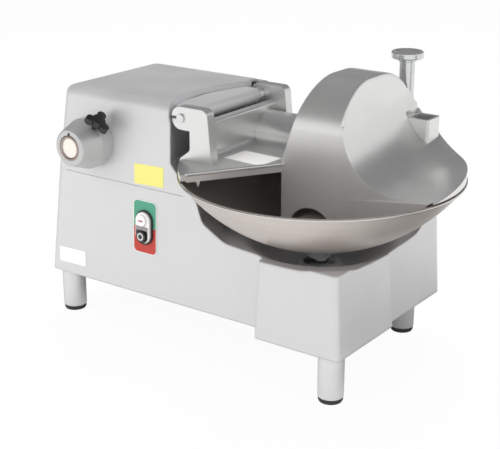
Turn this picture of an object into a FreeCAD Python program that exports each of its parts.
import FreeCAD, Part
import os
from math import atan, atan2, cos, hypot, pi, radians, sin, sqrt, tan

# Bowl cutter with a cast body, a spun turning bowl and a hinged cast knife cover.
# Millimetres, +Z up, +X towards the bowl end, +Y to the back. Heights are counted from a
# level above the bench, and each finished piece is raised by that much when it is saved, so
# the saved origin lies on the bench under the middle of the overall box.

# Bowl
RIM_RADIUS = 228.6
RIM_HEIGHT = 290.0
DISH_RADIUS = 282.0
BOWL_SHEET = 3.0
HUMP_RADIUS = 46.0
HUMP_TOP = 226.0
BOWL_HUB_RADIUS = 20.0
BOWL_HUB_BOTTOM = 151.0
SPINDLE_RADIUS = 12.0

# Body casting
BODY_REACH = 497.0
BODY_BOTTOM = 57.0
BREAK_HEIGHT = 245.0
BODY_TOP = 392.0
PEDESTAL_TOP = 187.0
BODY_WALL = 7.0
BODY_CORNER = 20.0
BODY_CROWN = 17.0
BLOCK_RIGHT = 124.0
BLOCK_FRONT = -121.0
BLOCK_BACK = 197.0
LEFT_DRAFT = (20.0, 16.0)
RIGHT_DRAFT = (6.0, 6.0)
FRONT_DRAFT = (8.0, 12.0)
BACK_DRAFT = (13.0, 43.0)
PEDESTAL_DRAFT = 12.0
PEDESTAL_LEFT = -22.0
PEDESTAL_RIGHT = 134.0
PEDESTAL_FRONT = -156.0
PEDESTAL_BACK = 14.0
PEDESTAL_CORNER = 8.0
COVE_RADIUS = 30.0
SCALLOP_RADIUS = 245.0
WELL_FLOOR = 135.0

# Legs
BENCH_LEVEL = -24.0
LEG_RADIUS = 20.6
PAD_THICKNESS = 7.0
STUD_RADIUS = 6.0
STUD_LENGTH = 20.0
BOSS_RADIUS = 25.0
BOSS_HEIGHT = 32.0
COVER_SHEET = 3.0

# Knife shaft
SHAFT_Y = 92.0
SHAFT_HEIGHT = 316.0
SHAFT_RADIUS = 10.0
TUBE_RADIUS = 22.0
TUBE_WALL = 5.0
TUBE_FLANGE_RADIUS = 34.0
TUBE_FLANGE_X = -222.0
TUBE_FLANGE_THICKNESS = 6.0
BEARING_WIDTH = 14.0
KNIFE_THICKNESS = 4.0
KNIFE_GAP = 10.0
KNIFE_CLEARANCE = 5.0
KNIFE_X = -4.0
KNIFE_HUB_RADIUS = 22.0

# Knife cover
COVER_RADIUS = 227.0
PLATE_TOP = 302.0
PLATE_THICKNESS = 6.0
PLATE_LEVEL = 258.3
PLATE_RISE_RIGHT = 0.18
PLATE_RISE_BACK = 0.1334
COVER_WALL = 6.0
RIM_GAP = 2.0
HOOD_TOP = 442.0
HOOD_FRONT = -29.0
HOOD_LEFT = -57.0
HOOD_RIGHT = 55.0
HOOD_TOP_LEFT = -12.0
HOOD_FRONT_ROUND = 78.0
HOOD_BACK_ROUND = 124.0
HOOD_FLARE = 95.0
HOOD_EDGE = 5.0
FRONT_WALL_BOTTOM = 212.0
ARCH_RADIUS = 43.0
ARCH_TOP = 239.0
TUNNEL_HALF_WIDTH = 38.0
TUNNEL_TOP = 350.0

# Cover hinge
HINGE_REACH = 203.0
HINGE_HEIGHT = 370.0
BARREL_RADIUS = 13.0
PIN_RADIUS = 7.0
ARM_RADIUS = 19.0
ARM_THICKNESS = 18.0
FRONT_ARM_Y = -100.0
REAR_ARM_Y = 116.0
COLLAR_WIDTH = 13.0

# Scraper post and bracket on the cover
POST_X = 38.0
POST_Y = 198.0
POST_RADIUS = 13.0
POST_TOP = 442.0
POST_BOTTOM = 280.0
KNOB_RADIUS = 27.0
KNOB_THICKNESS = 18.0
BRACKET_LEFT = 62.0
BRACKET_FRONT = 156.0
BRACKET_BOTTOM = 313.0
BRACKET_SIDE = 42.0
BRACKET_HEIGHT = 46.0
BRACKET_WALL = 5.0

# Attachment hub
HUB_X = -386.0
HUB_HEIGHT = 306.0
HUB_FRONT = -168.0
HUB_FACE_RADIUS = 31.0
HUB_BASE_RADIUS = 43.0
PLUG_RADIUS = 17.0
SCREW_TILT = 40.0
SCREW_Y = -136.0
SCREW_RADIUS = 4.0
LOBE_REACH = 15.0
LOBE_RADIUS = 8.0

# Switch
SWITCH_X = -271.0
SWITCH_HEIGHT = 177.0
SWITCH_PLATE_WIDTH = 50.0
SWITCH_PLATE_HEIGHT = 92.0
BEZEL_WIDTH = 30.0
BEZEL_HEIGHT = 54.0
BEZEL_DEPTH = 9.0
BUTTON_RADIUS = 9.8
BUTTON_PITCH = 27.0
BUTTON_TRAVEL = 3.0
LENS_HEIGHT = 6.0
PLATE_CORNER = 9.0

# Drive train
MOTOR_Y = -20.0
MOTOR_HEIGHT = 178.0
MOTOR_RADIUS = 60.0
MOTOR_LENGTH = 118.0
MOTOR_X = -409.0
MOTOR_SHAFT_RADIUS = 9.0
KNIFE_PULLEY_X = -445.0
WORM_PULLEY_X = -430.0
MOTOR_PULLEY_RADIUS = 30.0
KNIFE_PULLEY_RADIUS = 38.0
WORM_PULLEY_RADIUS = 22.0
BELT_WIDTH = 9.0
BELT_DEPTH = 7.0
WORM_Y = 60.0
WORM_HEIGHT = 110.0
WORM_SHAFT_RADIUS = 7.0
GEARBOX_HALF = 55.0
PTO_RADIUS = 9.0
GLAND_X = -400.0
GLAND_HEIGHT = 112.0
GLAND_RADIUS = 12.0
PTO_CASE = 62.0

# Clearances
RUN = 0.04
SEAT = 0.3

bowl_x = (BODY_REACH - RIM_RADIUS) / 2
dish_z = RIM_HEIGHT + sqrt(DISH_RADIUS ** 2 - RIM_RADIUS ** 2)
inner_dish = DISH_RADIUS - BOWL_SHEET
knife_radius = inner_dish - hypot(SHAFT_Y, dish_z - SHAFT_HEIGHT) - KNIFE_CLEARANCE


def V(x, y, z):
    return FreeCAD.Vector(x, y, z)


def box(x0, x1, y0, y1, z0, z1):
    """Box between two corners; x is counted from the bowl axis."""
    return Part.makeBox(x1 - x0, y1 - y0, z1 - z0, V(bowl_x + x0, y0, z0))


def rod(radius, start, direction, length):
    """Cylinder from a start point; x is counted from the bowl axis."""
    x, y, z = start
    return Part.makeCylinder(radius, length, V(bowl_x + x, y, z), V(*direction))


def ring(outer, inner, start, direction, length):
    return rod(outer, start, direction, length).cut(rod(inner, start, direction, length))


def united(shapes):
    return shapes[0].fuse(shapes[1:]).removeSplitter()


def largest(shape):
    """The one solid that matters after a cut, without the slivers left in a corner."""
    return max(shape.Solids, key=lambda solid: solid.Volume)


def corner_edges(points, radii):
    """Edges of a closed polygon with each corner rounded to its radius."""
    count = len(points)
    entries = []
    for i in range(count):
        before, at, after = points[i - 1], points[i], points[(i + 1) % count]
        into = before.sub(at).normalize()
        out = after.sub(at).normalize()
        angle = into.getAngle(out)
        if radii[i] == 0:
            entries.append((at, at, at))
            continue
        reach = radii[i] / tan(angle / 2)
        bisector = into.add(out).normalize()
        centre = at.add(bisector * (radii[i] / sin(angle / 2)))
        entries.append((at.add(into * reach), centre.sub(bisector * radii[i]), at.add(out * reach)))
    edges = []
    for i in range(count):
        first, middle, last = entries[i]
        if radii[i]:
            edges.append(Part.Arc(first, middle, last).toShape())
        following = entries[(i + 1) % count][0]
        if last.distanceToPoint(following) > 0.001:
            edges.append(Part.LineSegment(last, following).toShape())
    return edges


def prism(plane, points, radii, low, high):
    """Rounded polygon in the named plane, carried along the axis that the plane leaves out."""
    place = {
        "xy": lambda a, b: V(bowl_x + a, b, low),
        "xz": lambda a, b: V(bowl_x + a, low, b),
        "yz": lambda a, b: V(bowl_x + low, a, b),
    }[plane]
    along = {"xy": V(0, 0, 1), "xz": V(0, 1, 0), "yz": V(1, 0, 0)}[plane]
    if not hasattr(radii, "__len__"):
        radii = [radii] * len(points)
    wire = Part.Wire(corner_edges([place(a, b) for a, b in points], radii))
    return Part.Face(wire).extrude(along * (high - low))


def spun(points, radii=0, centre=(0, 0)):
    """Solid of revolution about a vertical axis from a rounded (radius, height) profile."""
    if not hasattr(radii, "__len__"):
        radii = [radii] * len(points)
    x, y = bowl_x + centre[0], centre[1]
    wire = Part.Wire(corner_edges([V(x + r, y, z) for r, z in points], radii))
    return Part.Face(wire).revolve(V(x, y, 0), V(0, 0, 1), 360)


def turned(points, start, direction, radii=0):
    """Solid of revolution from (radius, distance) points, laid along a direction."""
    if not hasattr(radii, "__len__"):
        radii = [radii] * len(points)
    wire = Part.Wire(corner_edges([V(r, 0, d) for r, d in points], radii))
    solid = Part.Face(wire).revolve(V(0, 0, 0), V(0, 0, 1), 360)
    x, y, z = start
    turn = FreeCAD.Rotation(V(0, 0, 1), V(*direction))
    solid.Placement = FreeCAD.Placement(V(bowl_x + x, y, z), turn)
    return solid


def dish_height(radius, sphere=DISH_RADIUS):
    return dish_z - sqrt(sphere ** 2 - radius ** 2)


# Body casting

def block_level(height, inset=0.0):
    """Left, right, front and back of the motor body at a height, with its draft."""
    low = min((height - BODY_BOTTOM) / (BREAK_HEIGHT - BODY_BOTTOM), 1.0)
    high = max((height - BREAK_HEIGHT) / (BODY_TOP - BREAK_HEIGHT), 0.0)
    left = -BODY_REACH + LEFT_DRAFT[0] * low + LEFT_DRAFT[1] * high
    right = BLOCK_RIGHT - RIGHT_DRAFT[0] * low - RIGHT_DRAFT[1] * high
    front = BLOCK_FRONT + FRONT_DRAFT[0] * low + FRONT_DRAFT[1] * high
    back = BLOCK_BACK - BACK_DRAFT[0] * low - BACK_DRAFT[1] * high
    return left + inset, right - inset, front + inset, back - inset


def pedestal_level(height, inset=0.0):
    rise = (height - BODY_BOTTOM) / (PEDESTAL_TOP - BODY_BOTTOM)
    left, right = PEDESTAL_LEFT, PEDESTAL_RIGHT - PEDESTAL_DRAFT * rise
    front, back = PEDESTAL_FRONT + PEDESTAL_DRAFT * rise, PEDESTAL_BACK
    return left + inset, right - inset, front + inset, back - inset


def face_front(height):
    return block_level(height)[2]


def frustum(low_z, low, high_z, high):
    """Block with four drafted sides between two rectangles: (left, right, front, back)."""
    block = Part.makeWedge(low[0], low_z, -low[3], -high[3], high[0],
                           low[1], high_z, -low[2], -high[2], high[1])
    block.rotate(V(0, 0, 0), V(1, 0, 0), 90)
    block.translate(V(bowl_x, 0, 0))
    return block


def drafted(level, heights, corner, inset=0.0, crown=0.0):
    """Casting form with a change of draft at each height and rounded uprights and top edge."""
    stages = []
    for low_z, high_z in zip(heights, heights[1:]):
        stage = frustum(low_z, level(low_z, inset), high_z, level(high_z, inset))
        if corner:
            uprights = [e for e in stage.Edges if abs(e.Vertexes[0].Z - e.Vertexes[-1].Z) > 0.5]
            stage = stage.makeFillet(corner, uprights)
        if crown and high_z == heights[-1]:
            top = [e for e in stage.Edges if min(v.Z for v in e.Vertexes) > high_z - 0.01]
            stage = stage.makeFillet(crown, top)
        stages.append(stage)
    return stages[0].fuse(stages[1:]) if len(stages) > 1 else stages[0]


def bowl_clearance(extra=0.0):
    """Space swept round the bowl: a dished well, the bowl's underside and an upright wall."""
    points = [(0.01, WELL_FLOOR - extra), (44, WELL_FLOOR - extra), (118, 178 - extra),
              (156, 183 - extra), (190 + extra, 208), (199 + extra, 240),
              (SCALLOP_RADIUS + extra, RIM_HEIGHT + 4), (SCALLOP_RADIUS + extra, 480), (0.01, 480)]
    return spun(points, [0, 20, 40, 30, 20, 12, 0, 0, 0])


def cove():
    """Concave blend between the body's front and the pedestal's left side."""
    wires = []
    for z in (BODY_BOTTOM, PEDESTAL_TOP):
        x = bowl_x + pedestal_level(z)[0] + 1
        y = face_front(z) + 1
        depth = y - pedestal_level(z)[2] - PEDESTAL_CORNER - 1
        side = V(x, y - depth, z)
        swell = V(x - COVE_RADIUS * 0.32, y - depth * 0.32, z)
        foot = V(x - COVE_RADIUS, y, z)
        root = V(x, y, z)
        wires.append(Part.Wire([Part.Arc(side, swell, foot).toShape(),
                                Part.LineSegment(foot, root).toShape(),
                                Part.LineSegment(root, side).toShape()]))
    return Part.makeLoft(wires, True, True)


LEG_PLACES = {
    "leg_front_left": (-BODY_REACH + 29, BLOCK_FRONT + 31),
    "leg_back_left": (-BODY_REACH + 29, BLOCK_BACK - 31),
    "leg_front_right": (PEDESTAL_RIGHT - 29, PEDESTAL_FRONT + 29),
    "leg_back_right": (BLOCK_RIGHT - 60, BLOCK_BACK - 26),
}


def gland_seat():
    """Spot face for the gland, just under the back wall's skin."""
    return block_level(GLAND_HEIGHT)[3] - 1.0


def housing():
    block = drafted(block_level, [BODY_BOTTOM, BREAK_HEIGHT, BODY_TOP], BODY_CORNER, 0.0, BODY_CROWN)
    outer = block.fuse([drafted(pedestal_level, [BODY_BOTTOM, PEDESTAL_TOP], PEDESTAL_CORNER), cove()])
    hollow = drafted(block_level, [BODY_BOTTOM - 1, BREAK_HEIGHT, BODY_TOP - BODY_WALL], 0, BODY_WALL)
    low_hollow = drafted(pedestal_level, [BODY_BOTTOM - 1, PEDESTAL_TOP - BODY_WALL], 0, BODY_WALL)
    hollow = hollow.fuse(low_hollow).cut(bowl_clearance(BODY_WALL))
    shell = outer.cut(bowl_clearance()).cut(hollow)
    bosses = [rod(BOSS_RADIUS, (x, y, BODY_BOTTOM), (0, 0, 1), BOSS_HEIGHT) for x, y in LEG_PLACES.values()]
    bosses.append(rod(34, (0, 0, WELL_FLOOR - BODY_WALL), (0, 0, 1), BODY_WALL + 6))
    barrel_y = FRONT_ARM_Y + ARM_THICKNESS + 1
    barrel_end = REAR_ARM_Y - COLLAR_WIDTH - 2
    lug = [(-SCALLOP_RADIUS + 3, HINGE_HEIGHT - BARREL_RADIUS), (-HINGE_REACH, HINGE_HEIGHT - BARREL_RADIUS),
           (-HINGE_REACH, HINGE_HEIGHT + BARREL_RADIUS), (-SCALLOP_RADIUS + 3, HINGE_HEIGHT + BARREL_RADIUS)]
    barrel = prism("xz", lug, 0, barrel_y, barrel_end).fuse(
        rod(BARREL_RADIUS, (-HINGE_REACH, barrel_y, HINGE_HEIGHT), (0, 1, 0), barrel_end - barrel_y))
    flange_boss = rod(TUBE_FLANGE_RADIUS + 4, (TUBE_FLANGE_X - 16, SHAFT_Y, SHAFT_HEIGHT), (1, 0, 0), 16)
    arm_relief = []
    for y in (FRONT_ARM_Y, REAR_ARM_Y):
        swing = rod(ARM_RADIUS + 4, (-HINGE_REACH, y - 3, HINGE_HEIGHT), (0, 1, 0), ARM_THICKNESS + 6)
        above = box(-HINGE_REACH - ARM_RADIUS - 4, -HINGE_REACH + 60, y - 3, y + ARM_THICKNESS + 3,
                    HINGE_HEIGHT, BODY_TOP + 30)
        arm_relief.append(swing.fuse(above))
    body = shell.fuse(bosses + [flange_boss])
    for relief in arm_relief:
        body = body.cut(relief)
    body = body.fuse(barrel)
    trim = box(-260, -200, -140, 200, BODY_BOTTOM, RIM_HEIGHT + 3).common(bowl_clearance())
    body = body.cut(trim)
    cuts = [rod(TUBE_RADIUS + RUN, (-300, SHAFT_Y, SHAFT_HEIGHT), (1, 0, 0), 100),
            rod(TUBE_FLANGE_RADIUS + 2, (TUBE_FLANGE_X, SHAFT_Y, SHAFT_HEIGHT), (1, 0, 0), 30),
            rod(GLAND_RADIUS + 1, (GLAND_X, gland_seat(), GLAND_HEIGHT), (0, 1, 0), 20),
            rod(PIN_RADIUS + RUN, (-HINGE_REACH, -140, HINGE_HEIGHT), (0, 1, 0), 300),
            rod(PTO_RADIUS + 8, (HUB_X, -140, HUB_HEIGHT), (0, 1, 0), 60),
            rod(SPINDLE_RADIUS + 3, (0, 0, 100), (0, 0, 1), 60),
            rod(8, (GLAND_X, 120, GLAND_HEIGHT), (0, 1, 0), 100),
            box(SWITCH_X - 12, SWITCH_X + 12, -140, -90, SWITCH_HEIGHT - 25, SWITCH_HEIGHT + 25)]
    cuts += [rod(STUD_RADIUS + RUN, (x, y, BODY_BOTTOM - 1), (0, 0, 1), BOSS_HEIGHT - 8)
             for x, y in LEG_PLACES.values()]
    for cut in cuts:
        body = body.cut(cut)
    return largest(body)


def base_cover():
    floor = [BODY_BOTTOM, BODY_BOTTOM + COVER_SHEET]
    sheet = drafted(block_level, floor, 0, BODY_WALL + 0.5)
    nose = drafted(pedestal_level, floor, 0, BODY_WALL + 0.5)
    sheet = sheet.fuse(nose).removeSplitter()
    for x, y in LEG_PLACES.values():
        sheet = sheet.cut(rod(BOSS_RADIUS + 0.5, (x, y, BODY_BOTTOM - 1), (0, 0, 1), 6))
    return largest(sheet)


def leg(place):
    """Turned leg with a threaded stud that screws into the body's boss."""
    foot = BENCH_LEVEL + PAD_THICKNESS
    top = BODY_BOTTOM - foot
    stud_top = top + STUD_LENGTH
    profile = [(0, 0), (LEG_RADIUS, 0), (LEG_RADIUS, top), (STUD_RADIUS, top), (STUD_RADIUS, stud_top),
               (0, stud_top)]
    return turned(profile, (place[0], place[1], foot), (0, 0, 1), [0, 3, 0, 0, 1, 0])


def foot_pads():
    profile = [(0, 0), (LEG_RADIUS - 2.5, 0), (LEG_RADIUS - 1, 3), (LEG_RADIUS - 1, PAD_THICKNESS),
               (0, PAD_THICKNESS)]
    return Part.makeCompound([turned(profile, (x, y, BENCH_LEVEL), (0, 0, 1)) for x, y in LEG_PLACES.values()])


# Bowl

def bowl():
    """Spun dish of even sheet, with a hump over the spindle and a small beaded rim."""
    def sheet(sphere, lift):
        foot = HUMP_RADIUS + 9 - lift
        shoulder = dish_height(foot, sphere)
        rim = RIM_RADIUS - (DISH_RADIUS - sphere) * 1.18
        middle = (rim + foot) / 2
        return foot, shoulder, rim, middle

    def side(sphere, lift):
        foot, shoulder, rim, middle = sheet(sphere, lift)
        x = bowl_x
        top = HUMP_TOP - BOWL_SHEET + lift
        crest = V(x + 0.01, 0, top)
        brow = V(x + HUMP_RADIUS * 0.55 + lift, 0, top - 6)
        cheek = V(x + HUMP_RADIUS - 5 + lift, 0, shoulder + 20)
        arc_top = Part.Arc(crest, V(x + HUMP_RADIUS * 0.3, 0, top - 1.6), brow).toShape()
        hip = Part.Arc(brow, V(x + HUMP_RADIUS * 0.8 + lift, 0, top - 15), cheek).toShape()
        curl = Part.Arc(cheek, V(x + HUMP_RADIUS - 1.5 + lift * 0.8, 0, shoulder + 6),
                        V(x + foot, 0, shoulder)).toShape()
        dish = Part.Arc(V(x + foot, 0, shoulder), V(x + middle, 0, dish_height(middle, sphere)),
                        V(x + rim, 0, dish_height(rim, sphere))).toShape()
        return [arc_top, hip, curl, dish]

    outer = side(DISH_RADIUS, 0)
    inner = side(inner_dish, BOWL_SHEET)
    rim_out = outer[-1].Vertexes[-1].Point
    rim_in = inner[-1].Vertexes[-1].Point
    lip = Part.LineSegment(rim_out, rim_in).toShape()
    core = Part.LineSegment(outer[0].Vertexes[0].Point, inner[0].Vertexes[0].Point).toShape()
    wire = Part.Wire(Part.__sortEdges__(outer + [lip] + inner + [core]))
    return Part.Face(wire).revolve(V(bowl_x, 0, 0), V(0, 0, 1), 360)


def bowl_hub():
    """Cast boss under the dish, bored for the spindle, with a flange that follows the dish."""
    flange = HUMP_RADIUS + 7
    top = dish_height(flange) - SEAT
    body = spun([(SPINDLE_RADIUS + RUN, BOWL_HUB_BOTTOM), (BOWL_HUB_RADIUS, BOWL_HUB_BOTTOM),
                 (BOWL_HUB_RADIUS + 2, 164), (flange, top - 3), (flange, top + 8), (HUMP_RADIUS - 10, top + 8),
                 (24, top + 22), (SPINDLE_RADIUS + RUN, top + 22)], [0, 3, 8, 0, 0, 0, 0, 0])
    under = Part.makeSphere(DISH_RADIUS + SEAT, V(bowl_x, 0, dish_z))
    shell_low = rod(300, (0, 0, 0), (0, 0, 1), 400).cut(rod(HUMP_RADIUS - 9, (0, 0, 0), (0, 0, 1), 400))
    return body.cut(under.common(shell_low))


def bowl_spindle():
    return spun([(0, 92), (SPINDLE_RADIUS, 92), (SPINDLE_RADIUS, 196), (8, 200), (8, 206), (0, 206)])


def spindle_slinger():
    """Spring-steel ring that throws wash water off the spindle."""
    grip = SPINDLE_RADIUS + 0.02
    return spun([(grip, 143), (26, 141.3), (26, 143.3), (SPINDLE_RADIUS + 4, 147), (grip, 147)])


# Knife shaft and its tube

def shaft_tube():
    start = -262.0
    end = HOOD_LEFT + 5
    bore = TUBE_RADIUS - TUBE_WALL
    tube = ring(TUBE_RADIUS, bore, (start, SHAFT_Y, SHAFT_HEIGHT), (1, 0, 0), end - start)
    edge = TUBE_FLANGE_THICKNESS
    collar = turned([(TUBE_RADIUS, 0), (TUBE_FLANGE_RADIUS, 0), (TUBE_FLANGE_RADIUS, edge),
                     (TUBE_RADIUS + 4, edge),
                     (TUBE_RADIUS + 4, edge + 5), (TUBE_RADIUS, edge + 5)],
                    (TUBE_FLANGE_X, SHAFT_Y, SHAFT_HEIGHT), (1, 0, 0), [0, 0, 1.5, 1.5, 1, 0])
    return tube.fuse(collar).removeSplitter().cut(disc(RIM_RADIUS + 2, 200, RIM_HEIGHT + RIM_GAP))


def tube_screws():
    reach = (TUBE_FLANGE_RADIUS + TUBE_RADIUS + 4) / 2
    places = [(SHAFT_Y + reach * cos(a), SHAFT_HEIGHT + reach * sin(a)) for a in (0.6, 2.5, 3.9, 5.5)]
    return Part.makeCompound([rod(2.6, (TUBE_FLANGE_X + TUBE_FLANGE_THICKNESS, y, z), (1, 0, 0), 2.5)
                              for y, z in places])


def bearing(x):
    bore = TUBE_RADIUS - TUBE_WALL - 0.02
    inner = SHAFT_RADIUS + RUN
    return turned([(inner, 0), (bore, 0), (bore, BEARING_WIDTH), (inner, BEARING_WIDTH)],
                  (x, SHAFT_Y, SHAFT_HEIGHT), (1, 0, 0), 0.8)


def shaft_seal():
    x = HOOD_LEFT + 5 - 5
    return ring(TUBE_RADIUS - TUBE_WALL - 0.02, SHAFT_RADIUS + 0.05, (x, SHAFT_Y, SHAFT_HEIGHT), (1, 0, 0), 5)


NUT_X = KNIFE_X + 2 * KNIFE_THICKNESS + KNIFE_GAP
NUT_FLAT = 15.0


def knife_shaft():
    """Ground shaft with a knife seat and a threaded nose."""
    left = KNIFE_PULLEY_X - 12
    return turned([(0, 0), (SHAFT_RADIUS, 0), (SHAFT_RADIUS, NUT_X + 14 - left), (0, NUT_X + 14 - left)],
                  (left, SHAFT_Y, SHAFT_HEIGHT), (1, 0, 0), [0, 1, 1, 0])


def knife_hub():
    """Driving flange with the spacer between the two knives, both keyed to the shaft."""
    start = KNIFE_X - 22
    drive = turned([(SHAFT_RADIUS, 0), (16, 0), (KNIFE_HUB_RADIUS, 10),
                    (KNIFE_HUB_RADIUS, 22), (SHAFT_RADIUS, 22)],
                   (start, SHAFT_Y, SHAFT_HEIGHT), (1, 0, 0), [0, 1, 3, 0, 0])
    spacer = ring(KNIFE_HUB_RADIUS - 2, SHAFT_RADIUS, (KNIFE_X + KNIFE_THICKNESS, SHAFT_Y, SHAFT_HEIGHT),
                  (1, 0, 0), KNIFE_GAP)
    return Part.makeCompound([drive, spacer])


def knife(x, turn):
    """Sickle blade: an arc-shaped cutting edge and a hollow back on a bored hub."""
    def at(radius, angle):
        a = radians(angle + turn)
        return V(bowl_x + x, SHAFT_Y + radius * cos(a), SHAFT_HEIGHT + radius * sin(a))

    edge = Part.Arc(at(KNIFE_HUB_RADIUS - 2, -30), at(knife_radius * 0.74, 22), at(knife_radius, 88)).toShape()
    tip = Part.LineSegment(at(knife_radius, 88), at(knife_radius * 0.97, 98)).toShape()
    heel = KNIFE_HUB_RADIUS - 2
    back = Part.Arc(at(knife_radius * 0.97, 98), at(knife_radius * 0.5, 92), at(heel, 150)).toShape()
    root = Part.LineSegment(at(heel, 150), at(heel, -30)).toShape()
    blade = Part.Face(Part.Wire([edge, tip, back, root])).extrude(V(KNIFE_THICKNESS, 0, 0))
    blade = blade.fuse(rod(KNIFE_HUB_RADIUS, (x, SHAFT_Y, SHAFT_HEIGHT), (1, 0, 0), KNIFE_THICKNESS))
    blade = blade.removeSplitter()
    return blade.cut(rod(SHAFT_RADIUS, (x - 1, SHAFT_Y, SHAFT_HEIGHT), (1, 0, 0), KNIFE_THICKNESS + 2))


def knife_nut():
    """Six-sided nut with a domed washer face, left-hand threaded on the shaft's nose."""
    across = NUT_FLAT / cos(pi / 6)
    corners = [(SHAFT_Y + across * cos(k * pi / 3), SHAFT_HEIGHT + across * sin(k * pi / 3)) for k in range(6)]
    nut = prism("yz", corners, 0, NUT_X + 3, NUT_X + 17)
    cone = turned([(0, 0), (18, 0), (18, 3), (17, 3), (17, 12), (12, 16), (0, 16)],
                  (NUT_X + 1, SHAFT_Y, SHAFT_HEIGHT), (1, 0, 0))
    washer = rod(19, (NUT_X, SHAFT_Y, SHAFT_HEIGHT), (1, 0, 0), 3)
    bore = rod(SHAFT_RADIUS, (NUT_X - 1, SHAFT_Y, SHAFT_HEIGHT), (1, 0, 0), 15.2)
    return nut.common(cone).fuse(washer).cut(bore)


# Cover

def right_plate_height(x, y):
    """The right part of the plate falls from the rim towards the hood's front corner."""
    return PLATE_LEVEL + PLATE_RISE_RIGHT * x + PLATE_RISE_BACK * y


def half_space_below(drop):
    """Slab under the falling right plate, lowered by a drop."""
    left, right, front, back = 40, 260, -60, 260
    profile = [V(bowl_x + left, front, 150), V(bowl_x + right, front, 150),
               V(bowl_x + right, front, right_plate_height(right, front) - drop),
               V(bowl_x + left, front, right_plate_height(left, front) - drop)]
    slab = Part.Face(Part.makePolygon(profile + profile[:1])).extrude(
        V(0, back - front, (back - front) * PLATE_RISE_BACK))
    return slab.fuse(box(left, right, front, back, 150, 200))


def hood_section(inset, low, high):
    """Hood outline seen from the knife end: upright front, rounded brow, long falling back."""
    front = HOOD_FRONT + inset
    top = HOOD_TOP - inset
    brow = HOOD_FRONT_ROUND - inset
    back = HOOD_BACK_ROUND - inset
    centre_y, centre_z = 84.0, HOOD_TOP - HOOD_BACK_ROUND
    a = radians(20)
    brow_y, brow_z = HOOD_FRONT + HOOD_FRONT_ROUND, HOOD_TOP - HOOD_FRONT_ROUND
    fall = V(0, centre_y + back * cos(a), centre_z + back * sin(a))
    foot = V(0, fall.y + (fall.z - 255) * tan(a), 255)

    def on_back(angle):
        return V(0, centre_y + back * cos(radians(angle)), centre_z + back * sin(radians(angle)))

    k = sqrt(0.5)
    edges = [Part.LineSegment(V(0, front, 255), V(0, front, brow_z)),
             Part.Arc(V(0, front, brow_z), V(0, brow_y - brow * k, brow_z + brow * k), V(0, brow_y, top)),
             Part.LineSegment(V(0, brow_y, top), V(0, centre_y, top)),
             Part.Arc(V(0, centre_y, top), on_back(55), fall),
             Part.LineSegment(fall, foot),
             Part.LineSegment(foot, V(0, front, 255))]
    face = Part.Face(Part.Wire([e.toShape() for e in edges]))
    face.translate(V(bowl_x + low, 0, 0))
    return face.extrude(V(high - low, 0, 0))


def hood_slant(inset):
    """Side view of the hood: its left end leans out from the brow down to the front wall."""
    slope = (HOOD_TOP_LEFT - HOOD_LEFT) / (HOOD_TOP - 307)
    shift = inset * sqrt(1 + slope ** 2)
    points = [(HOOD_LEFT + inset, 240), (HOOD_RIGHT - inset, 240), (HOOD_RIGHT - inset, 470),
              (HOOD_TOP_LEFT + slope * 28 + shift, 470), (HOOD_LEFT + shift, 307)]
    return prism("xz", points, 0, -80, 260)


def hood_outer():
    body = hood_section(0, -80, HOOD_RIGHT).common(hood_slant(0))
    right = [e for e in body.Edges if all(abs(v.X - bowl_x - HOOD_RIGHT) < 0.01 for v in e.Vertexes)
             and e.CenterOfMass.z > 300]
    return body.makeFillet(HOOD_EDGE, right)


def hood_flare():
    """Large hollow sweep from the hood's right face out to the falling plate."""
    slope = atan(PLATE_RISE_RIGHT)
    z_at = right_plate_height(HOOD_RIGHT + HOOD_FLARE, HOOD_FRONT)
    centre_x = HOOD_RIGHT + HOOD_FLARE
    centre_z = z_at + HOOD_FLARE / cos(slope)

    def on(angle):
        return V(bowl_x + centre_x + HOOD_FLARE * cos(angle), HOOD_FRONT, centre_z + HOOD_FLARE * sin(angle))

    high = on(pi)
    low = on(1.5 * pi + slope)
    middle = on((pi + 1.5 * pi + slope) / 2)
    root = V(bowl_x + HOOD_RIGHT - 3, HOOD_FRONT, 262)
    cap = V(bowl_x + HOOD_RIGHT - 3, HOOD_FRONT, high.z)
    under = V(low.x, HOOD_FRONT, low.z - 4)
    edges = [Part.LineSegment(cap, high), Part.Arc(high, middle, low), Part.LineSegment(low, under),
             Part.LineSegment(under, root), Part.LineSegment(root, cap)]
    face = Part.Face(Part.Wire([e.toShape() for e in edges]))
    sweep = face.extrude(V(0, 280, 280 * PLATE_RISE_BACK))
    return sweep.common(hood_section(0, HOOD_RIGHT - 4, 240))


def flare_hollow():
    slope = atan(PLATE_RISE_RIGHT)
    radius = HOOD_FLARE + COVER_WALL
    centre_x = HOOD_RIGHT + HOOD_FLARE
    z_at = right_plate_height(centre_x, HOOD_FRONT)
    centre_z = z_at + HOOD_FLARE / cos(slope)

    def on(angle):
        height = centre_z + radius * sin(angle) - 31 * PLATE_RISE_BACK
        return V(bowl_x + centre_x + radius * cos(angle), -60, height)

    high = on(pi)
    low = on(1.5 * pi + slope)
    middle = on((pi + 1.5 * pi + slope) / 2)
    corner = V(high.x, -60, low.z - 60)
    edges = [Part.Arc(high, middle, low), Part.LineSegment(low, V(low.x, -60, low.z - 60)),
             Part.LineSegment(V(low.x, -60, low.z - 60), corner), Part.LineSegment(corner, high)]
    face = Part.Face(Part.Wire([e.toShape() for e in edges]))
    sweep = face.extrude(V(0, 320, 320 * PLATE_RISE_BACK))
    return sweep.common(hood_section(COVER_WALL, HOOD_RIGHT - 12, 240).fuse(
        box(HOOD_RIGHT - 12, 240, HOOD_FRONT + COVER_WALL, 260, 200, 262)))


def disc(radius, low, high):
    return rod(radius, (0, 0, low), (0, 0, 1), high - low)


EDGE_CORNER = (-148.0, -172.0)


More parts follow.
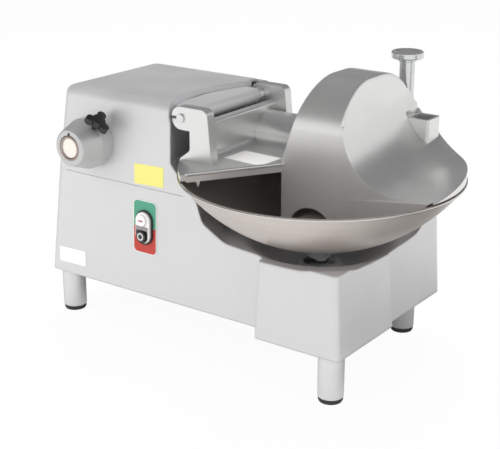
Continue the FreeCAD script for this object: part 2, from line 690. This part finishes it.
def plate_region(low, high, inset=0.0):
    """Part of the bowl's circle that the cover lies over, behind its front edge."""
    ex, ey = EDGE_CORNER
    hx, hy = HOOD_LEFT, HOOD_FRONT
    length = hypot(hx - ex, hy - ey)
    nx, ny = -(hy - ey) / length * inset, (hx - ex) / length * inset
    points = [(ex * 1.4 + nx, ey + (ex * 0.4) * (hy - ey) / (hx - ex) + ny), (hx + nx, hy + ny + inset * 0.3),
              (HOOD_RIGHT, hy + inset), (260, -50 + inset), (260, 260), (-260, 260), (-260, ey)]
    return prism("xy", points, 0, low, high)


def cover_plate():
    left = disc(COVER_RADIUS, PLATE_TOP - 13, PLATE_TOP).common(plate_region(PLATE_TOP - 13, PLATE_TOP))
    left = left.common(box(-260, HOOD_RIGHT, -260, 260, 200, 400))
    under = disc(COVER_RADIUS - COVER_WALL, PLATE_TOP - 14, PLATE_TOP - PLATE_THICKNESS).common(
        plate_region(PLATE_TOP - 14, PLATE_TOP - PLATE_THICKNESS, COVER_WALL))
    left = left.cut(under)
    region = plate_region(150, 400)
    right = disc(COVER_RADIUS, 200, 400).common(region).common(half_space_below(0)).common(
        box(HOOD_RIGHT - 4, 260, -80, 260, 150, 400))
    hollow = disc(COVER_RADIUS - COVER_WALL, 150, 400).common(plate_region(140, 400, COVER_WALL)).common(
        half_space_below(PLATE_THICKNESS)).common(box(HOOD_RIGHT - 10, 260, -80, 260, 150, 400))
    right = right.cut(hollow)
    floor = disc(300, FRONT_WALL_BOTTOM, 400)
    return left, right.common(floor)


def front_bead():
    """Rolled lip along the plate's front-left edge, with a small locating tab under its end."""
    ex, ey = EDGE_CORNER
    start = V(bowl_x + ex + 6, ey + 9, PLATE_TOP + 0.5)
    end = V(bowl_x + HOOD_LEFT + 4, HOOD_FRONT + 5, PLATE_TOP + 0.5)
    along = end.sub(start)
    bead = Part.makeCylinder(3, along.Length, start, along)
    bead = bead.fuse(Part.makeSphere(3, start))
    unit = along.normalize()
    root = start.add(unit * 14)
    a = root.add(V(0, 0, -11))
    b = root.add(unit * 9).add(V(0, 0, -11))
    c = root.add(unit * 4.5).add(V(0, 0, -23))
    side = V(-unit.y, unit.x, 0) * 4
    wedge = Part.Face(Part.makePolygon([a, b, c, a])).extrude(side)
    return bead, wedge


def tunnel():
    """Cast arch over the shaft tube, blended into the plate by hollow feet."""
    y0, y1 = SHAFT_Y - TUNNEL_HALF_WIDTH, SHAFT_Y + TUNNEL_HALF_WIDTH
    low = PLATE_TOP - PLATE_THICKNESS
    outer = [(y0 - 22, low), (y0 - 22, PLATE_TOP), (y0, PLATE_TOP), (y0, TUNNEL_TOP), (y1, TUNNEL_TOP),
             (y1, PLATE_TOP), (y1 + 22, PLATE_TOP), (y1 + 22, low)]
    inner = [(y0 + COVER_WALL, 200), (y1 - COVER_WALL, 200), (y1 - COVER_WALL, TUNNEL_TOP - COVER_WALL),
             (y0 + COVER_WALL, TUNNEL_TOP - COVER_WALL)]
    body = prism("yz", outer, [0, 0, 18, 34, 34, 18, 0, 0], -HINGE_REACH + 26, HOOD_TOP_LEFT - 8)
    hollow = prism("yz", inner, [0, 0, 28, 28], -250, HOOD_LEFT + 30)
    return body, hollow


def end_wall():
    """Upright wall that joins the two hinge arms, swept into the plate on both sides."""
    x = -HINGE_REACH
    low = PLATE_TOP - PLATE_THICKNESS
    wall = [(x - 2, low), (x + 85, low), (x + 85, PLATE_TOP), (x + 36, PLATE_TOP), (x + 36, 362),
            (x + 17, 362), (x + 17, 318), (x - 2, 304)]
    return prism("xz", wall, [0, 0, 0, 12, 4, 4, 12, 0], FRONT_ARM_Y, REAR_ARM_Y + ARM_THICKNESS)


def hinge_arm(y):
    x = -HINGE_REACH
    z = HINGE_HEIGHT
    profile = [(x - ARM_RADIUS, z - ARM_RADIUS), (x + 26, z - ARM_RADIUS), (x + 26, 326), (x - 4, 303),
               (x - 4, 297), (x + 60, 297), (x + 60, 304), (x + 52, z + ARM_RADIUS),
               (x - ARM_RADIUS, z + ARM_RADIUS)]
    arm = prism("xz", profile, [18, 8, 34, 0, 0, 0, 0, 12, 18], y, y + ARM_THICKNESS)
    arm = arm.common(disc(SCALLOP_RADIUS - 4, 200, z - ARM_RADIUS + 0.01).fuse(
        box(-260, 0, y, y + ARM_THICKNESS, z - ARM_RADIUS, 480)))
    slot = box(x - ARM_RADIUS - 2, x - PIN_RADIUS + 2, y - 1, y + ARM_THICKNESS + 1, z - 2.2, z + 2.2)
    return arm.cut(slot).cut(rod(PIN_RADIUS + RUN, (x, y - 1, z), (0, 1, 0), ARM_THICKNESS + 2))


def bowl_keep_out():
    """Everything that the turning bowl needs: its rim and the space under its inner face."""
    outside = disc(300, 150, RIM_HEIGHT + RIM_GAP).cut(disc(RIM_RADIUS - 9, 149, RIM_HEIGHT + RIM_GAP + 1))
    dish = disc(300, 100, RIM_HEIGHT + RIM_GAP).cut(Part.makeSphere(inner_dish - 6, V(bowl_x, 0, dish_z)))
    return outside, dish


def bowl_cover():
    """The casting: plate, knife hood with its flare, tunnel, front wall, end wall and hinge arms."""
    left, right = cover_plate()
    bead, tab = front_bead()
    tunnel_body, tunnel_hollow = tunnel()
    arms = [hinge_arm(y) for y in (FRONT_ARM_Y, REAR_ARM_Y)]
    wall = end_wall().common(disc(SCALLOP_RADIUS - 4, 200, 480))
    boss = rod(POST_RADIUS + 6, (POST_X, POST_Y, PLATE_TOP - 4), (0, 0, 1), 372 - PLATE_TOP + 4)
    hood = hood_outer().common(disc(COVER_RADIUS, 200, 500))
    flare = hood_flare().common(disc(COVER_RADIUS, 200, 500))
    solid = left.fuse([right, hood, flare, tunnel_body, bead, tab, wall])
    chamber = hood_section(COVER_WALL, -80, HOOD_RIGHT - COVER_WALL).common(hood_slant(COVER_WALL))
    knife_room = box(HOOD_LEFT + COVER_WALL, HOOD_RIGHT - COVER_WALL, HOOD_FRONT + COVER_WALL, 212, 200, 310)
    solid = solid.cut(tunnel_hollow).cut(chamber)
    solid = solid.cut(knife_room.common(disc(COVER_RADIUS - COVER_WALL, 190, 320))).cut(flare_hollow())
    front = box(HOOD_LEFT, HOOD_RIGHT, HOOD_FRONT, HOOD_FRONT + COVER_WALL, FRONT_WALL_BOTTOM, 312)
    arch = rod(ARCH_RADIUS, (0, HOOD_FRONT - 5, ARCH_TOP - ARCH_RADIUS), (0, 1, 0), 20)
    solid = solid.fuse([front, boss] + arms).cut(arch)
    solid = solid.cut(rod(POST_RADIUS + RUN, (POST_X, POST_Y, 240), (0, 0, 1), 200))
    for space in bowl_keep_out():
        solid = solid.cut(space)
    seat = box(BRACKET_LEFT - SEAT, BRACKET_LEFT + BRACKET_SIDE + SEAT, BRACKET_FRONT - SEAT,
               BRACKET_FRONT + BRACKET_SIDE + SEAT, BRACKET_BOTTOM, 460)
    solid = solid.cut(seat)
    pocket = box(-245, -HINGE_REACH + 16, FRONT_ARM_Y + ARM_THICKNESS, REAR_ARM_Y, 330, 420)
    solid = solid.cut(pocket)
    return solid


def cover_bracket():
    """Open-topped cast box near the rear rim, on a small foot."""
    left, front, low = BRACKET_LEFT, BRACKET_FRONT, BRACKET_BOTTOM
    right, back = left + BRACKET_SIDE, front + BRACKET_SIDE
    outer = box(left, right, front, back, low, low + BRACKET_HEIGHT)
    uprights = [e for e in outer.Edges if abs(e.Vertexes[0].Z - e.Vertexes[-1].Z) > 10]
    outer = outer.makeFillet(BRACKET_WALL, uprights)
    wall = BRACKET_WALL
    inner = box(left + wall, right - wall, front + wall, back - wall, low + wall, low + BRACKET_HEIGHT + 1)
    foot = box(right - 20, right - 4, back - 20, back - 3, low - 20, low)
    return outer.cut(inner).fuse(foot.cut(half_space_below(-SEAT))).removeSplitter()


def scraper_post():
    post = rod(POST_RADIUS, (POST_X, POST_Y, POST_BOTTOM), (0, 0, 1), POST_TOP - POST_BOTTOM)
    return post.cut(rod(2, (POST_X, POST_Y - POST_RADIUS - 1, POST_TOP - 14), (0, 1, 0), 6))


def scraper_knob():
    """Turned disc knob with a hollowed top, on a collar."""
    return turned([(0, 0), (15, 0), (15, 5), (KNOB_RADIUS, 5), (KNOB_RADIUS, KNOB_THICKNESS),
                   (16, KNOB_THICKNESS - 3),
                   (0, KNOB_THICKNESS - 3)], (POST_X, POST_Y, POST_TOP), (0, 0, 1), [0, 1, 2, 3, 3, 4, 0])


def scraper_blade():
    """Curved plate that follows the dish and turns the food back under the knives."""
    start = (POST_X + 4, POST_Y - 4)
    points = [start, (78, 170), (112, 118), (118, 118), (84, 174), (POST_X + 8, POST_Y)]
    blade = prism("xy", points, 0, 200, POST_BOTTOM)
    return blade.common(Part.makeSphere(inner_dish - 4, V(bowl_x, 0, dish_z)))


def hinge_pin():
    return rod(PIN_RADIUS, (-HINGE_REACH, FRONT_ARM_Y - 3, HINGE_HEIGHT), (0, 1, 0),
               REAR_ARM_Y + ARM_THICKNESS - FRONT_ARM_Y + 8)


def hinge_collar():
    return ring(BARREL_RADIUS - 1.5, PIN_RADIUS, (-HINGE_REACH, REAR_ARM_Y - COLLAR_WIDTH, HINGE_HEIGHT),
                (0, 1, 0), COLLAR_WIDTH - 0.5)


# Attachment hub

def pto_hub():
    """Turned socket on the body's front: straight foot, tapered nose and a ring with a key slot."""
    base = face_front(HUB_HEIGHT) + 4
    depth = base - HUB_FRONT
    body = turned([(PLUG_RADIUS, 0), (HUB_FACE_RADIUS - 1.5, 0), (HUB_FACE_RADIUS, 1.5),
                   (HUB_BASE_RADIUS, depth * 0.55), (HUB_BASE_RADIUS, depth + 6), (PLUG_RADIUS, depth + 6)],
                  (HUB_X, HUB_FRONT, HUB_HEIGHT), (0, 1, 0), [0, 0, 0, 5, 0, 0])
    keep = drafted(block_level, [BODY_BOTTOM, BREAK_HEIGHT, BODY_TOP], BODY_CORNER)
    body = body.cut(keep)
    key = box(HUB_X - 2.5, HUB_X + 2.5, HUB_FRONT - 1, HUB_FRONT + 8, HUB_HEIGHT + 15, HUB_HEIGHT + 26)
    a = radians(SCREW_TILT)
    screw_hole = rod(SCREW_RADIUS + 0.05, (HUB_X, SCREW_Y, HUB_HEIGHT), (sin(a), 0, cos(a)), 60)
    return body.cut(key).cut(screw_hole)


def hub_plug():
    return turned([(0, 0), (PLUG_RADIUS - 0.3, 0), (PLUG_RADIUS - 0.05, 1), (PLUG_RADIUS - 0.05, 14), (0, 14)],
                  (HUB_X, HUB_FRONT + 1.5, HUB_HEIGHT), (0, 1, 0))


def hub_thumbscrew():
    """Three-lobed moulded knob on a steel screw that clamps the attachment's shank."""
    a = radians(SCREW_TILT)
    start = 26.0
    seat = HUB_BASE_RADIUS + 5
    shank = seat - start
    stem = turned([(0, 0), (SCREW_RADIUS, 0), (SCREW_RADIUS, shank), (7, shank), (7, shank + 4),
                   (0, shank + 4)],
                  (HUB_X + start * sin(a), SCREW_Y, HUB_HEIGHT + start * cos(a)), (sin(a), 0, cos(a)), 0)
    knob = Part.makeCylinder(12, 12, V(0, 0, 0))
    for k in range(3):
        turn = k * 2 * pi / 3
        lobe_at = V(LOBE_REACH * cos(turn), LOBE_REACH * sin(turn), 0)
        knob = knob.fuse(Part.makeCylinder(LOBE_RADIUS, 12, lobe_at))
    knob = knob.removeSplitter()
    rims = [e for e in knob.Edges if abs(e.CenterOfMass.z - 12) < 0.01 or abs(e.CenterOfMass.z) < 0.01]
    knob = knob.makeFillet(2, rims)
    reach = seat + 3.5
    knob.Placement = FreeCAD.Placement(V(bowl_x + HUB_X + reach * sin(a), SCREW_Y, HUB_HEIGHT + reach * cos(a)),
                                       FreeCAD.Rotation(V(0, 0, 1), V(sin(a), 0, cos(a))))
    return stem.fuse(knob).removeSplitter()


def pto_shaft():
    start = HUB_FRONT + 18
    return rod(PTO_RADIUS, (HUB_X, start, HUB_HEIGHT), (0, 1, 0), SHAFT_Y - 24 - start)


# Switch, tilted to the draft of the body's front face

switch_tilt = atan(8.0 / (BREAK_HEIGHT - BODY_BOTTOM))


def on_front(shape):
    """Moves a piece drawn about the face's own origin, with +Z out of the face, to its place."""
    out = V(0, -cos(switch_tilt), sin(switch_tilt))
    up = V(0, sin(switch_tilt), cos(switch_tilt))
    turn = FreeCAD.Rotation(V(1, 0, 0), up, out, "ZXY")
    shape.Placement = FreeCAD.Placement(V(bowl_x + SWITCH_X, face_front(SWITCH_HEIGHT), SWITCH_HEIGHT), turn)
    return shape


def pill(width, height, low, high, shift=0.0):
    """Slot-shaped block about the switch centre, drawn flat."""
    half = (height - width) / 2
    radius = width / 2
    ends = [Part.makeCylinder(radius, high - low, V(0, shift + s * half, low)) for s in (-1, 1)]
    middle = Part.makeBox(width, 2 * half, high - low, V(-radius, shift - half, low)) if half > 0 else ends[0]
    return ends[0].fuse([ends[1], middle]).removeSplitter()


def switch_plate():
    w, h = SWITCH_PLATE_WIDTH / 2, SWITCH_PLATE_HEIGHT / 2
    points = [V(-w, -h, 0.1), V(w, -h, 0.1), V(w, h, 0.1), V(-w, h, 0.1)]
    sheet = Part.Face(Part.Wire(corner_edges(points, [PLATE_CORNER] * 4))).extrude(V(0, 0, 1.0))
    return on_front(sheet.cut(pill(BEZEL_WIDTH - 6, BEZEL_HEIGHT - 6, -1, 3)))


def switch_bezel():
    body = pill(BEZEL_WIDTH, BEZEL_HEIGHT, 1.1, BEZEL_DEPTH)
    edges = [e for e in body.Edges if abs(e.CenterOfMass.z - BEZEL_DEPTH) < 0.01]
    body = body.makeFillet(2.5, edges)
    shank = pill(20, 44, -BODY_WALL - 10, 1.1)
    body = body.fuse(shank)
    for s in (-1, 1):
        body = body.cut(Part.makeCylinder(BUTTON_RADIUS + 0.3, 40, V(0, s * BUTTON_PITCH / 2, -20)))
    lens_room = Part.makeBox(16, LENS_HEIGHT + 0.4, 6, V(-8, -LENS_HEIGHT / 2 - 0.2, BEZEL_DEPTH - 3))
    return on_front(body.cut(lens_room))


def switch_lens():
    return on_front(Part.makeBox(15.6, LENS_HEIGHT, 3.2, V(-7.8, -LENS_HEIGHT / 2, BEZEL_DEPTH - 3)))


def push_button(side):
    high = BEZEL_DEPTH + (3.4 if side > 0 else 4.0)
    cap = Part.makeCylinder(BUTTON_RADIUS, high + 4, V(0, side * BUTTON_PITCH / 2, -4))
    top = [e for e in cap.Edges if abs(e.CenterOfMass.z - high) < 0.01 and len(e.Vertexes) == 1]
    return on_front(cap.makeFillet(1.2, top))


def contact_block():
    return on_front(Part.makeBox(28, 46, 32, V(-14, -23, -BODY_WALL - 42.2)))


# Drive train inside the body

def motor():
    """Finned stator case with two end bells."""
    case = rod(MOTOR_RADIUS - 5, (MOTOR_X, MOTOR_Y, MOTOR_HEIGHT), (1, 0, 0), MOTOR_LENGTH)
    count = int((MOTOR_LENGTH - 50) / 14)
    fins = [rod(MOTOR_RADIUS, (MOTOR_X + 30 + k * 14, MOTOR_Y, MOTOR_HEIGHT), (1, 0, 0), 7)
            for k in range(count)]
    bore = rod(MOTOR_SHAFT_RADIUS + RUN, (MOTOR_X - 1, MOTOR_Y, MOTOR_HEIGHT), (1, 0, 0), 60)
    return united([case] + fins).cut(bore)


def motor_cradle():
    """Pressed saddle that carries the motor on the base plate."""
    low = BODY_BOTTOM + COVER_SHEET
    left, right = MOTOR_X + 30, MOTOR_X + MOTOR_LENGTH - 20
    block = box(left, right, MOTOR_Y - 45, MOTOR_Y + 45, low, MOTOR_HEIGHT - 20)
    block = block.cut(rod(MOTOR_RADIUS + SEAT, (MOTOR_X, MOTOR_Y, MOTOR_HEIGHT), (1, 0, 0), MOTOR_LENGTH))
    return block.cut(box(left - 1, right + 1, MOTOR_Y - 38, MOTOR_Y + 38, low + 5, low + 30))


def motor_shaft():
    start = KNIFE_PULLEY_X - 8
    return rod(MOTOR_SHAFT_RADIUS, (start, MOTOR_Y, MOTOR_HEIGHT), (1, 0, 0), MOTOR_X + 55 - start)


def groove(radius, middle):
    """Profile points of one V groove, centred on a distance along the axis."""
    half = BELT_WIDTH / 2
    return [(radius + BELT_DEPTH, middle - half - 1.5), (radius, middle - half + 0.5),
            (radius, middle + half - 0.5), (radius + BELT_DEPTH, middle + half + 1.5)]


def pulley(radius, bore, x, y, z, middles):
    half = BELT_WIDTH / 2 + 3.5
    first, last = middles[0] - half, middles[-1] + half
    points = [(bore, first), (radius + BELT_DEPTH, first)]
    for middle in middles:
        points += groove(radius, middle)
    points += [(radius + BELT_DEPTH, last), (bore, last)]
    return turned(points, (x, y, z), (1, 0, 0))


def belt(x, first, second):
    """V-belt round two pulleys: each is (y, z, groove radius)."""
    def hull(extra, width):
        y0, z0, r0 = first
        y1, z1, r1 = second
        span = hypot(y1 - y0, z1 - z0)
        heading = atan2(z1 - z0, y1 - y0)
        lean = pi / 2 - atan((r0 - r1) / sqrt(span ** 2 - (r0 - r1) ** 2))

        def touch(y, z, radius, side):
            a = heading + side * lean
            return y + (radius + extra) * cos(a), z + (radius + extra) * sin(a)

        between = [touch(y0, z0, r0, 1), touch(y1, z1, r1, 1), touch(y1, z1, r1, -1), touch(y0, z0, r0, -1)]
        ends = [rod(radius + extra, (x - width / 2, y, z), (1, 0, 0), width)
                for y, z, radius in (first, second)]
        return united(ends + [prism("yz", between, 0, x - width / 2, x + width / 2)])

    return hull(BELT_DEPTH - 0.6, BELT_WIDTH - 2.2).cut(hull(SEAT, BELT_WIDTH + 4))


def bowl_gearbox():
    """Closed worm gearbox bolted under the well floor."""
    top = WELL_FLOOR - BODY_WALL
    case = box(-GEARBOX_HALF, GEARBOX_HALF, -40, WORM_Y + 22, BODY_BOTTOM + COVER_SHEET + 5, top)
    bore = rod(WORM_SHAFT_RADIUS + RUN, (-GEARBOX_HALF - 1, WORM_Y, WORM_HEIGHT), (1, 0, 0), GEARBOX_HALF + 20)
    return case.cut(bore).cut(rod(SPINDLE_RADIUS + RUN, (0, 0, 92), (0, 0, 1), 60))


def worm_shaft():
    start = WORM_PULLEY_X - 10
    return rod(WORM_SHAFT_RADIUS, (start, WORM_Y, WORM_HEIGHT), (1, 0, 0), 10 - start)


def pto_gearbox():
    """Closed gear case that hangs from the body's roof and takes its drive from the knife shaft."""
    half = PTO_CASE / 2
    case = box(HUB_X - half, HUB_X + half, SHAFT_Y - 32, SHAFT_Y + 32, SHAFT_HEIGHT - 38, SHAFT_HEIGHT + 34)
    hanger = box(HUB_X - 16, HUB_X + 16, SHAFT_Y - 20, SHAFT_Y + 20, SHAFT_HEIGHT + 30, BODY_TOP - BODY_WALL)
    case = case.fuse(hanger).removeSplitter()
    case = case.cut(rod(SHAFT_RADIUS + RUN, (HUB_X - 60, SHAFT_Y, SHAFT_HEIGHT), (1, 0, 0), 120))
    return case.cut(rod(PTO_RADIUS + RUN, (HUB_X, SHAFT_Y - 60, HUB_HEIGHT), (0, 1, 0), 60 - 24))


def cord_gland():
    """Screwed gland in the back wall for the supply lead."""
    y = gland_seat()
    nut = turned([(5, 0), (GLAND_RADIUS, 0), (GLAND_RADIUS, 6), (8, 12), (5, 12)],
                 (GLAND_X, y, GLAND_HEIGHT), (0, 1, 0), [0, 0, 1, 1, 0])
    shank = ring(7.9, 5, (GLAND_X, y - 14, GLAND_HEIGHT), (0, 1, 0), 14)
    return nut.fuse(shank).removeSplitter()


def base_screws():
    places = [(-300, -100), (-120, -100), (-300, 170), (-120, 170), (60, -60)]
    head = [(0, 0), (4, 0), (5, 1.5), (5, 2), (0, 2)]
    return Part.makeCompound([turned(head, (x, y, BODY_BOTTOM - 2), (0, 0, 1))
                              for x, y in places])


motor_groove = (MOTOR_Y, MOTOR_HEIGHT, MOTOR_PULLEY_RADIUS)
knife_groove = (SHAFT_Y, SHAFT_HEIGHT, KNIFE_PULLEY_RADIUS)
worm_groove = (WORM_Y, WORM_HEIGHT, WORM_PULLEY_RADIUS)

parts = {
    "housing": housing,
    "base_cover": base_cover,
    "foot_pads": foot_pads,
    "base_screws": base_screws,
    "bowl": bowl,
    "bowl_hub": bowl_hub,
    "bowl_spindle": bowl_spindle,
    "spindle_slinger": spindle_slinger,
    "shaft_tube": shaft_tube,
    "tube_screws": tube_screws,
    "shaft_bearing_rear": lambda: bearing(-256.0),
    "shaft_bearing_front": lambda: bearing(HOOD_LEFT + 5 - 6 - BEARING_WIDTH),
    "shaft_seal": shaft_seal,
    "knife_shaft": knife_shaft,
    "knife_hub": knife_hub,
    "knife_inner": lambda: knife(KNIFE_X, 0.0),
    "knife_outer": lambda: knife(KNIFE_X + KNIFE_THICKNESS + KNIFE_GAP, 180.0),
    "knife_nut": knife_nut,
    "bowl_cover": bowl_cover,
    "cover_bracket": cover_bracket,
    "scraper_post": scraper_post,
    "scraper_knob": scraper_knob,
    "scraper_blade": scraper_blade,
    "hinge_pin": hinge_pin,
    "hinge_collar": hinge_collar,
    "pto_hub": pto_hub,
    "hub_plug": hub_plug,
    "hub_thumbscrew": hub_thumbscrew,
    "pto_shaft": pto_shaft,
    "pto_gearbox": pto_gearbox,
    "switch_plate": switch_plate,
    "switch_bezel": switch_bezel,
    "switch_lens": switch_lens,
    "start_button": lambda: push_button(1),
    "stop_button": lambda: push_button(-1),
    "contact_block": contact_block,
    "motor": motor,
    "motor_cradle": motor_cradle,
    "motor_shaft": motor_shaft,
    "motor_pulley": lambda: pulley(MOTOR_PULLEY_RADIUS, MOTOR_SHAFT_RADIUS, 0, MOTOR_Y, MOTOR_HEIGHT,
                                   [KNIFE_PULLEY_X, WORM_PULLEY_X]),
    "knife_pulley": lambda: pulley(KNIFE_PULLEY_RADIUS, SHAFT_RADIUS, 0, SHAFT_Y, SHAFT_HEIGHT,
                                   [KNIFE_PULLEY_X]),
    "worm_pulley": lambda: pulley(WORM_PULLEY_RADIUS, WORM_SHAFT_RADIUS, 0, WORM_Y, WORM_HEIGHT,
                                  [WORM_PULLEY_X]),
    "knife_belt": lambda: belt(KNIFE_PULLEY_X, motor_groove, knife_groove),
    "bowl_belt": lambda: belt(WORM_PULLEY_X, motor_groove, worm_groove),
    "bowl_gearbox": bowl_gearbox,
    "worm_shaft": worm_shaft,
    "cord_gland": cord_gland,
}
for name, place in LEG_PLACES.items():
    parts[name] = lambda place=place: leg(place)

os.makedirs("parts", exist_ok=True)
for name, make in parts.items():
    piece = make()
    piece.translate(V(0, 0, -BENCH_LEVEL))
    piece.exportStep("parts/" + name + ".step")
